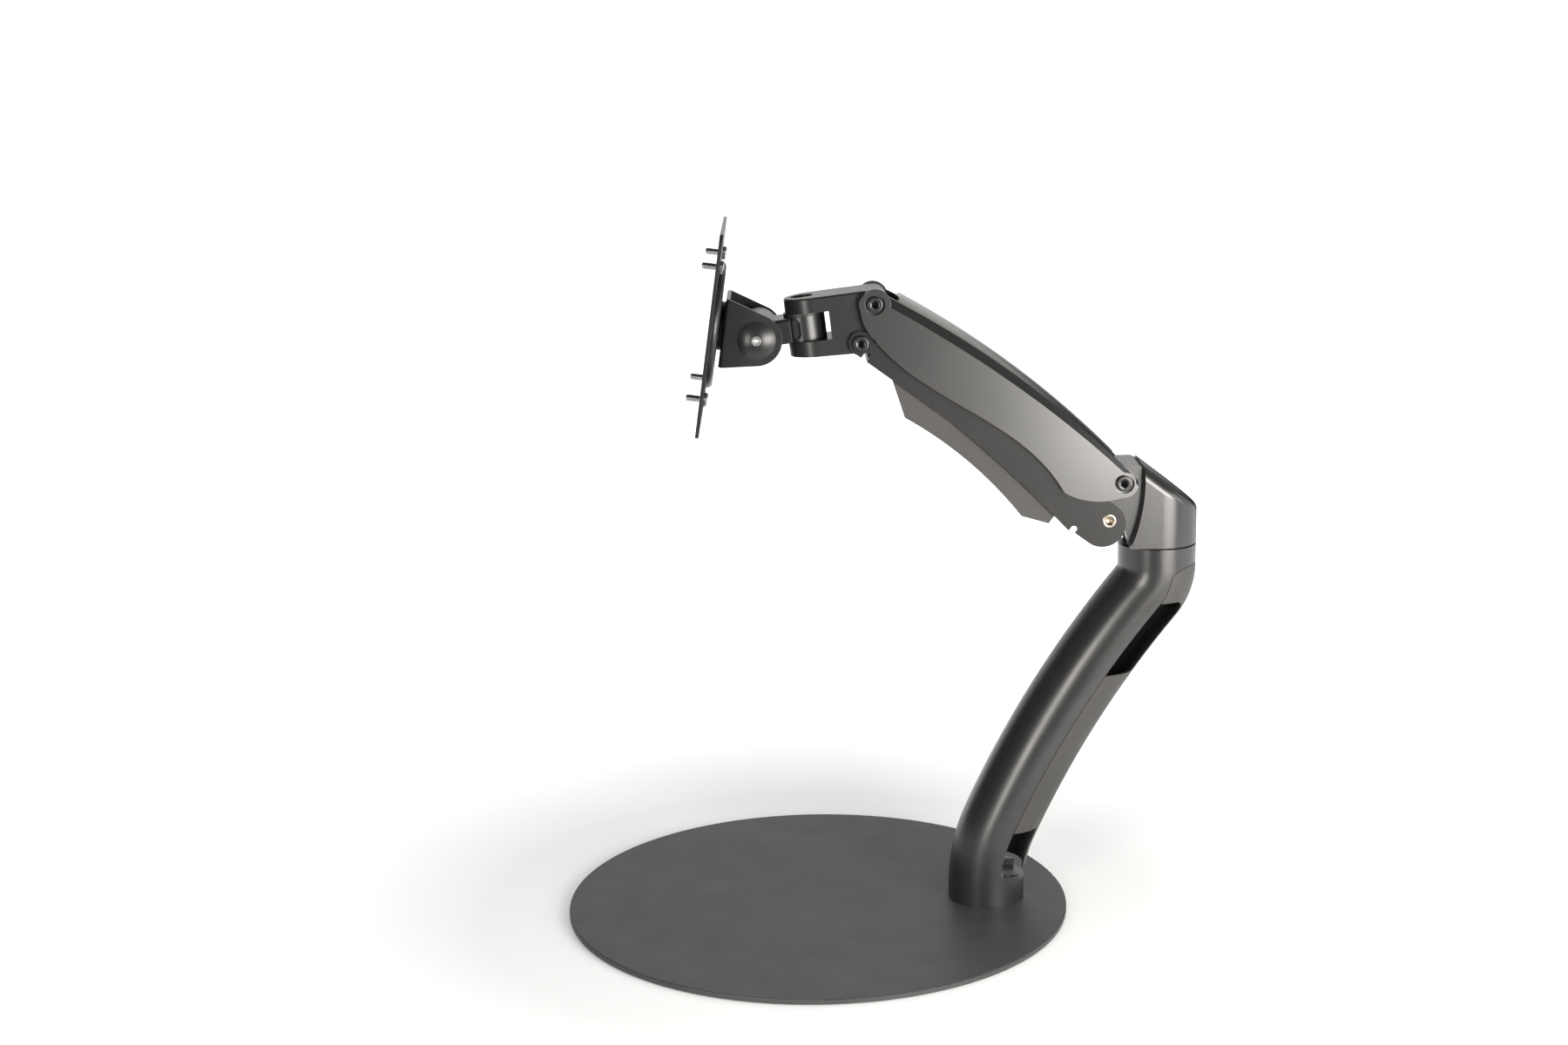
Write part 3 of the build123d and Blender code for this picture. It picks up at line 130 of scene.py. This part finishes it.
def finish_material(name, dark, light, rough, grain, metallic=0.0, specular=0.5, coat=0.0, wear=1.35):
    """Painted, moulded or plated surface: two close tones, uneven gloss, fine grain, soft worn edges.

    rough is the range of roughness; grain is its scale and its depth in micrometres.
    """
    mat = bpy.data.materials.new(name)
    mat.use_nodes = True
    tree = mat.node_tree
    shader = tree.nodes["Principled BSDF"]
    shader.inputs["Metallic"].default_value = metallic
    shader.inputs["Specular IOR Level"].default_value = specular
    shader.inputs["Coat Weight"].default_value = coat
    shader.inputs["Coat Roughness"].default_value = COAT_ROUGH
    shader.inputs["Coat IOR"].default_value = COAT_IOR
    coords = node(tree, "ShaderNodeTexCoord").outputs["Object"]
    worn, normal = worn_edges(tree)
    tone = blend(tree, "RGBA", uneven(tree, coords, TONE_SCALE, TONE_DETAIL, 0.0, 1.0), dark, light)
    rubbed = tuple(min(1.0, wear * part) for part in light)
    tree.links.new(blend(tree, "RGBA", worn, tone, rubbed), shader.inputs["Base Color"])
    gloss = uneven(tree, coords, GLOSS_SCALE, GLOSS_DETAIL, *rough)
    tree.links.new(gloss, shader.inputs["Roughness"])
    scale, depth = grain
    bump = node(tree, "ShaderNodeBump", Strength=1.0, Distance=depth * MICRON)
    tree.links.new(noise(tree, coords, scale, GRAIN_DETAIL), bump.inputs["Height"])
    tree.links.new(normal, bump.inputs["Normal"])
    tree.links.new(bump.outputs["Normal"], shader.inputs["Normal"])
    return mat


# Looks by material slot
SATIN_TONES = ((0.013, 0.0125, 0.012), (0.017, 0.016, 0.0155))
LOOKS = {
    "base_paint": finish_material(
        "base_powder_coat", (0.042, 0.042, 0.043), (0.049, 0.049, 0.050),
        rough=(0.48, 0.54), grain=(2600.0, 6.0), specular=0.42),
    "pad_rubber": finish_material(
        "rubber_pad", (0.018, 0.018, 0.018), (0.028, 0.028, 0.028),
        rough=(0.75, 0.9), grain=(900.0, 100.0), specular=0.3),
    "casting_paint": finish_material(
        "satin_black_casting", *SATIN_TONES,
        rough=(0.285, 0.32), grain=(1900.0, 0.8), specular=0.75),
    "sheet_paint": finish_material(
        "satin_black_sheet", (0.016, 0.0155, 0.015), (0.021, 0.020, 0.0195),
        rough=(0.30, 0.35), grain=(2200.0, 2.0), specular=0.32),
    "cover_plastic": finish_material(
        "grey_moulded_plastic", (0.034, 0.033, 0.031), (0.041, 0.039, 0.037),
        rough=(0.48, 0.56), grain=(2800.0, 40.0), specular=0.45),
    "black_steel": finish_material(
        "black_oxide_steel", (0.010, 0.010, 0.010), (0.016, 0.016, 0.016),
        rough=(0.285, 0.33), grain=(2400.0, 2.0), specular=0.6, wear=1.4),
    "zinc_steel": finish_material(
        "zinc_plate", (0.58, 0.59, 0.60), (0.68, 0.69, 0.69),
        rough=(0.285, 0.34), grain=(1500.0, 10.0), metallic=1.0, wear=1.1),
    "brass": finish_material(
        "pale_nickel", (0.70, 0.64, 0.56), (0.80, 0.75, 0.68),
        rough=(0.285, 0.34), grain=(1500.0, 10.0), metallic=1.0, wear=1.1),
    "washer_plastic": finish_material(
        "black_washer_plastic", (0.014, 0.014, 0.014), (0.020, 0.020, 0.020),
        rough=(0.42, 0.5), grain=(2000.0, 20.0)),
    "spring_chrome": finish_material(
        "hard_chrome", (0.60, 0.60, 0.61), (0.66, 0.66, 0.67),
        rough=(0.08, 0.14), grain=(1200.0, 4.0), metallic=1.0, wear=1.05),
}

# Looks of single pieces that differ from the look of their slot
ARM_LOOK = finish_material(
    "satin_black_arm", (0.016, 0.0155, 0.015), (0.020, 0.019, 0.0185),
    rough=(0.28, 0.30), grain=(1900.0, 0.8), specular=0.9, coat=0.55)
HEAD_LOOK = finish_material(
    "satin_black_head", *SATIN_TONES,
    rough=(0.30, 0.35), grain=(2000.0, 1.0))
RIVET_LOOK = finish_material(
    "rivet_nickel", (0.38, 0.34, 0.29), (0.46, 0.42, 0.36),
    rough=(0.30, 0.38), grain=(1500.0, 10.0), metallic=1.0, wear=1.1)
CORE_LOOK = finish_material(
    "rivet_brass", (0.34, 0.27, 0.18), (0.42, 0.34, 0.24),
    rough=(0.34, 0.46), grain=(1500.0, 20.0), metallic=1.0, wear=1.1)
NODE_LOOKS = {
    "arm_shell": ARM_LOOK,
    "tilt_bracket": HEAD_LOOK,
    "knuckle": HEAD_LOOK,
    "clevis": HEAD_LOOK,
    "rotation_disc": HEAD_LOOK,
}


def smooth_faces(mesh):
    mesh.shade_smooth()
    mesh.set_sharp_from_angle(angle=SHARP_ANGLE)


for name, obj in nodes.items():
    obj.data.materials.clear()
    obj.data.materials.append(NODE_LOOKS.get(name, LOOKS[slot_of[name]]))
    smooth_faces(obj.data)


# Detail pieces in place of plain CAD fasteners, in millimetres; a profile lists radius and height
STEPS = 48
FAR_SIDE, NEAR_SIDE = 1, -1
HEAD_T = 2.4
SHANK_L = 6.0

BUTTON_R = 4.6
BUTTON_SOCKET = 4.0

RIVET_SHANK_R = 3.73
RIVET_RIM_DEPTH = 0.25  # foot of the rolled rim below the CAD rivet's end face
RIVET_BORE_R = 2.1
RIVET_CORE_FROM = -0.9

VESA_KNURL_R = 4.0
VESA_KNURL_DEPTH = 0.2
VESA_KNURL_RIBS = 16
VESA_SOCKET = 2.5
VESA_NECK_R = 2.48
VESA_NECK_L = 2.0
VESA_STUD_R = 2.0
VESA_TIP_R = 1.3
VESA_TIP = 10.0
THREAD_SHARE = 0.94     # of the stud's length, the rest is its point
THREAD_PITCH = 0.7
THREAD_DEPTH = 0.3
THREAD_RINGS = 8        # per turn

BOLT_HEAD_R = 3.3
BOLT_HEAD_T = 2.0
BOLT_SHANK_R = 3.0
BOLT_END_R = 2.0
BOLT_END_L = 12.05


def hexagon(across):
    """Radius of a hexagonal socket by angle."""
    sixth = FULL_TURN / 6
    return lambda angle, height: across / 2 / math.cos((angle + sixth / 2) % sixth - sixth / 2)


def cross(reach, half_width):
    """Radius of a cross recess by angle."""
    tiny = 1e-6         # keeps the divisions below clear of zero

    def at(angle, height):
        down = max(abs(math.sin(angle)), tiny)
        over = max(abs(math.cos(angle)), tiny)
        return max(min(reach / over, half_width / down), min(reach / down, half_width / over))
    return at


def ribbed(radius, ribs, depth):
    """Radius of a knurled rim by angle."""
    return lambda angle, height: radius - depth * (0.5 - 0.5 * math.cos(ribs * angle))


def threaded(radius):
    """Radius of a helical thread by angle and height."""
    def at(angle, height):
        turn = (height / THREAD_PITCH - angle / FULL_TURN) % 1
        return radius - THREAD_DEPTH * abs(2 * turn - 1)
    return at


def ring_points(place, radius, height):
    """Points of one ring of a turned solid, or its one point on the axis."""
    if radius == 0:
        return [place @ Vector((0, 0, height * MM))]
    points = []
    for step in range(STEPS):
        angle = FULL_TURN * step / STEPS
        out = MM * (radius(angle, height) if callable(radius) else radius)
        points.append(place @ Vector((out * math.cos(angle), out * math.sin(angle), height * MM)))
    return points


def turned(mesh, place, profile):
    """Adds a solid turned about the place's Z; radii are plain numbers or follow the angle."""
    rings = [[mesh.verts.new(point) for point in ring_points(place, *part)] for part in profile]
    faces = []
    for near, far in zip(rings, rings[1:]):
        for step in range(STEPS):
            after = (step + 1) % STEPS
            low = [near[0]] if len(near) == 1 else [near[after], near[step]]
            high = [far[0]] if len(far) == 1 else [far[step], far[after]]
            faces.append(mesh.faces.new(low + high))
    return faces


def finish_piece(name, mesh, body, node_name, looks):
    """Turns the mesh into an object that rides on the body in place of the CAD node."""
    bmesh.ops.recalc_face_normals(mesh, faces=mesh.faces[:])
    data = bpy.data.meshes.new(name)
    mesh.to_mesh(data)
    mesh.free()
    for look in looks:
        data.materials.append(look)
    smooth_faces(data)
    obj = bpy.data.objects.new(name, data)
    scene.collection.objects.link(obj)
    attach(obj, body)
    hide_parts(node_name)


def side_place(node_name, side, depth):
    """Frame on one end of a node that lies across the arm, depth below its end face, facing out."""
    low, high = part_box(node_name)
    middle = (low + high) / 2
    end = high.y if side == FAR_SIDE else low.y
    turn = Matrix(((1, 0, 0), (0, 0, side), (0, -side, 0))).to_4x4()
    return Matrix.Translation((middle.x, end - side * depth * MM, middle.z)) @ turn


def button_screws(name, body, node_name, shank_r):
    """Screws whose heads have a rounded rim and a countersunk hex socket."""
    socket = hexagon(BUTTON_SOCKET)
    profile = [
        (0, -SHANK_L), (shank_r, -SHANK_L), (shank_r, 0), (BUTTON_R, 0),
        (BUTTON_R, 1.8), (4.5, 2.1), (4.3, 2.3), (4.0, HEAD_T),
        (2.55, HEAD_T), (socket, 2.2), (socket, -1.0), (0, -2.4),
    ]
    mesh = bmesh.new()
    for side in (FAR_SIDE, NEAR_SIDE):
        turned(mesh, side_place(node_name, side, HEAD_T), profile)
    finish_piece(name, mesh, body, node_name, [LOOKS["black_steel"]])


def rolled_rivets(name, body, node_name):
    """Hollow rivets: a rolled rim on the link and a brass core inside it."""
    rim = [
        (0, -SHANK_L), (RIVET_SHANK_R, -SHANK_L), (RIVET_SHANK_R, -0.1),
        (4.0, 0), (4.0, 0.1), (3.9, 0.25), (3.6, 0.40), (3.2, 0.45), (2.8, 0.38), (2.5, 0.18),
        (2.25, -0.3), (RIVET_BORE_R, RIVET_CORE_FROM),
    ]
    core = [(RIVET_BORE_R, -2.2), (1.4, -2.6), (0, -2.7)]
    mesh = bmesh.new()
    for side in (FAR_SIDE, NEAR_SIDE):
        faces = turned(mesh, side_place(node_name, side, RIVET_RIM_DEPTH), rim + core)
        for face in faces[-STEPS * len(core):]:
            face.material_index = 1
    finish_piece(name, mesh, body, node_name, [RIVET_LOOK, CORE_LOOK])


def machine_screws(name, body, node_name):
    """VESA screws: knurled heads with hex sockets behind the plate, helical threads ahead of it."""
    mount = next(part for part in record["mounts"] if part["name"] == "vesa_75_studs")
    ahead = Vector(mount["axis"])
    across = Vector((0, -1, 0))
    up = ahead.cross(across)
    turn = Matrix((across, up, ahead)).transposed().to_4x4()
    pitch = mount["dims"]["pcd_mm"] * MM / math.sqrt(2)
    head_foot = Vector(mount["pos_m"]) - ahead * (VESA_NECK_L + VESA_TIP) * MM / 2
    socket = hexagon(VESA_SOCKET)
    knurl = ribbed(VESA_KNURL_R, VESA_KNURL_RIBS, VESA_KNURL_DEPTH)
    helix = threaded(VESA_STUD_R)
    stud_l = VESA_TIP - VESA_NECK_L
    rings = round(stud_l / THREAD_PITCH * THREAD_RINGS)
    profile = [
        (0, -0.9), (socket, -1.0), (socket, -2.2), (1.7, -HEAD_T),
        (2.9, -HEAD_T), (3.5, -2.2), (knurl, -1.8), (knurl, -0.3), (3.7, 0),
        (VESA_NECK_R, 0), (VESA_NECK_R, VESA_NECK_L),
        *((helix, VESA_NECK_L + stud_l * THREAD_SHARE * ring / rings) for ring in range(rings + 1)),
        (VESA_TIP_R, VESA_TIP), (0, VESA_TIP),
    ]
    mesh = bmesh.new()
    for side in (-1, 1):
        for rise in (-1, 1):
            offset = (across * side + up * rise) * pitch / 2
            turned(mesh, Matrix.Translation(head_foot + offset) @ turn, profile)
    finish_piece(name, mesh, body, node_name, [LOOKS["zinc_steel"]])


def cross_bolt(name, body, node_name):
    """Tilt bolt: a low plated head with a cross recess on the near side, a shank and a thinner end."""
    low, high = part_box(node_name)
    end = (low.y - high.y) / MM
    shank_end = end + BOLT_END_L
    recess_top = cross(2.1, 0.55)
    recess_floor = cross(1.2, 0.4)
    profile = [
        (0, end), (BOLT_END_R, end), (BOLT_END_R, shank_end),
        (BOLT_SHANK_R, shank_end), (BOLT_SHANK_R, -BOLT_HEAD_T), (BOLT_HEAD_R, -BOLT_HEAD_T),
        (BOLT_HEAD_R, -0.5), (3.1, -0.2), (2.8, 0),
        (recess_top, 0), (recess_floor, -1.1), (0, -1.4),
    ]
    mesh = bmesh.new()
    turned(mesh, side_place(node_name, NEAR_SIDE, 0), profile)
    finish_piece(name, mesh, body, node_name, [LOOKS["zinc_steel"]])


button_screws("rear_pivot_button_screws", "upper_arm", "rear_pivot_screws", shank_r=2.5)
button_screws("front_pivot_button_screws", "upper_arm", "front_pivot_screws", shank_r=2.5)
button_screws("front_link_button_screws", "lower_arm", "front_link_screws", shank_r=1.7)
rolled_rivets("rolled_link_rivets", "lower_arm", "rear_link_rivets")
machine_screws("vesa_machine_screws", "vesa_head", "vesa_screws")
cross_bolt("tilt_cross_bolt", "tilt_head", "tilt_bolt")


# Stage: pale floor, black flags and white room
FLOOR_SIZE = (40, 40)
FLOOR_DROP = 0.2 * MM
FLOOR_GREY = 0.82
FLOOR_NEAR = 0.20           # the floor keeps its shadow up to here
FLOOR_NEAR_GLOW = 0.14
FLOOR_FAR = 0.6             # and is white from here on
FLAG_GREY = 0.012
MATT_ROUGH = 0.9
MATT_SPECULAR = 0.1
ROOM_LEVEL = 0.5            # light that the room casts; by sight and in gloss it is plain white


def background_rays(tree):
    """1 for rays that show the background by sight, in gloss or through glass, else 0."""
    path = node(tree, "ShaderNodeLightPath")
    shown = path.outputs["Is Camera Ray"]
    for other in ("Is Glossy Ray", "Is Transmission Ray"):
        either = node(tree, "ShaderNodeMath", operation="MAXIMUM")
        tree.links.new(shown, either.inputs[0])
        tree.links.new(path.outputs[other], either.inputs[1])
        shown = either.outputs[0]
    return shown


def matt_material(name, grey):
    mat = bpy.data.materials.new(name)
    mat.use_nodes = True
    shader = mat.node_tree.nodes["Principled BSDF"]
    shader.inputs["Base Color"].default_value = (grey, grey, grey, 1)
    shader.inputs["Roughness"].default_value = MATT_ROUGH
    shader.inputs["Specular IOR Level"].default_value = MATT_SPECULAR
    return mat


def floor_material():
    """Matt floor that keeps the shadow near the object and runs out to white further away."""
    mat = matt_material("pale_floor", FLOOR_GREY)
    tree = mat.node_tree
    shader = tree.nodes["Principled BSDF"]
    shader.inputs["Emission Color"].default_value = WHITE
    coords = node(tree, "ShaderNodeTexCoord").outputs["Object"]
    away = node(tree, "ShaderNodeVectorMath", operation="LENGTH")
    tree.links.new(coords, away.inputs[0])
    glow = spread(tree, away.outputs["Value"], FLOOR_NEAR_GLOW, 1.0, FLOOR_NEAR, FLOOR_FAR)
    strength = node(tree, "ShaderNodeMath", operation="MULTIPLY")
    tree.links.new(glow, strength.inputs[0])
    tree.links.new(background_rays(tree), strength.inputs[1])
    tree.links.new(strength.outputs[0], shader.inputs["Emission Strength"])
    return mat


def stage_plane(name, size, place, mat):
    mesh = bpy.data.meshes.new(name)
    x, y = size[0] / 2, size[1] / 2
    mesh.from_pydata([(-x, -y, 0), (x, -y, 0), (x, y, 0), (-x, y, 0)], [], [(0, 1, 2, 3)])
    mesh.materials.append(mat)
    obj = bpy.data.objects.new(name, mesh)
    scene.collection.objects.link(obj)
    obj.matrix_world = place
    return obj


def upright(angle):
    """Turn of a plane that stands on the floor, its normal turned by angle from -Y."""
    return Matrix.Rotation(math.radians(angle), 4, "Z") @ Matrix.Rotation(math.radians(90), 4, "X")


LYING = Matrix.Identity(4)
FLAGS = (
    ("flag_above", (5.0, 3.6), (0.2, -0.85, 1.6), LYING),
    ("flag_front", (3.4, 1.6), (-1.0, -2.6, 0.8), upright(0)),
    ("flag_left", (4.2, 1.6), (-1.9, -0.4, 0.8), upright(90)),
    ("flag_below", (3.4, 2.2), (-0.3, -1.5, 0.001), LYING),
    ("flag_back", (5.0, 1.6), (0.3, 2.3, 1.85), upright(0)),
    ("flag_back_right", (2.0, 1.1), (1.85, 2.3, 0.55), upright(0)),
    ("flag_behind", (1.4, 1.8), (0.75, 1.8, 0.001), LYING),
)

stage_plane("floor", FLOOR_SIZE, Matrix.Translation((0, 0, -FLOOR_DROP)), floor_material())
black_cloth = matt_material("black_cloth", FLAG_GREY)
for name, size, place, turn in FLAGS:
    flag = stage_plane(name, size, Matrix.Translation(place) @ turn, black_cloth)
    # Seen in gloss only, so the room stays evenly lit
    flag.visible_camera = False
    flag.visible_diffuse = False
    flag.visible_shadow = False

world = bpy.data.worlds.new("studio")
scene.world = world
world.use_nodes = True
back = world.node_tree.nodes["Background"]
back.inputs["Color"].default_value = WHITE
level = spread(world.node_tree, background_rays(world.node_tree), ROOM_LEVEL, 1.0, 0.0, 1.0)
world.node_tree.links.new(level, back.inputs["Strength"])

# Studio lamps
LAMP_COLOUR = (1.0, 0.97, 0.93)


def softbox(name, place, aim, size, watts):
    lamp = bpy.data.lights.new(name, "AREA")
    lamp.shape = "RECTANGLE"
    lamp.size, lamp.size_y = size
    lamp.energy = watts
    lamp.color = LAMP_COLOUR
    obj = bpy.data.objects.new(name, lamp)
    scene.collection.objects.link(obj)
    obj.location = place
    obj.rotation_mode = "QUATERNION"
    obj.rotation_quaternion = (Vector(aim) - Vector(place)).to_track_quat("-Z", "Y")
    obj.visible_camera = False


softbox("key_right", (0.57, -0.79, 0.27), aim=(0.18, 0.0, 0.25), size=(0.53, 0.40), watts=13.5)
softbox("strip_left", (-0.68, -1.15, 0.30), aim=(0.15, 0.0, 0.18), size=(0.18, 0.60), watts=7.5)
softbox("rim_back", (0.3, 1.5, 1.2), aim=(0.05, 0.0, 0.2), size=(1.6, 0.8), watts=5.0)
softbox("fill_right", (1.25, -0.45, 0.45), aim=(0.2, 0.0, 0.2), size=(0.4, 0.5), watts=2.5)

# Camera at the photograph's angle
CAMERA_PLACE = (-0.0160758, -1.3689836, 0.5446081)
CAMERA_DOWN = 12.656        # degrees below level
CAMERA_ROLL = -1.0739       # degrees
LENS = 55.0
SENSOR_W = 36.0
CLIP_START = 0.05

lens = bpy.data.cameras.new("camera")
lens.lens = LENS
lens.sensor_width = SENSOR_W
lens.clip_start = CLIP_START
camera = bpy.data.objects.new("camera", lens)
scene.collection.objects.link(camera)
scene.camera = camera
camera.matrix_world = (
    Matrix.Translation(CAMERA_PLACE)
    @ Matrix.Rotation(math.radians(90 - CAMERA_DOWN), 4, "X")
    @ Matrix.Rotation(math.radians(CAMERA_ROLL), 4, "Z")
)
scene.view_settings.view_transform = "Standard"
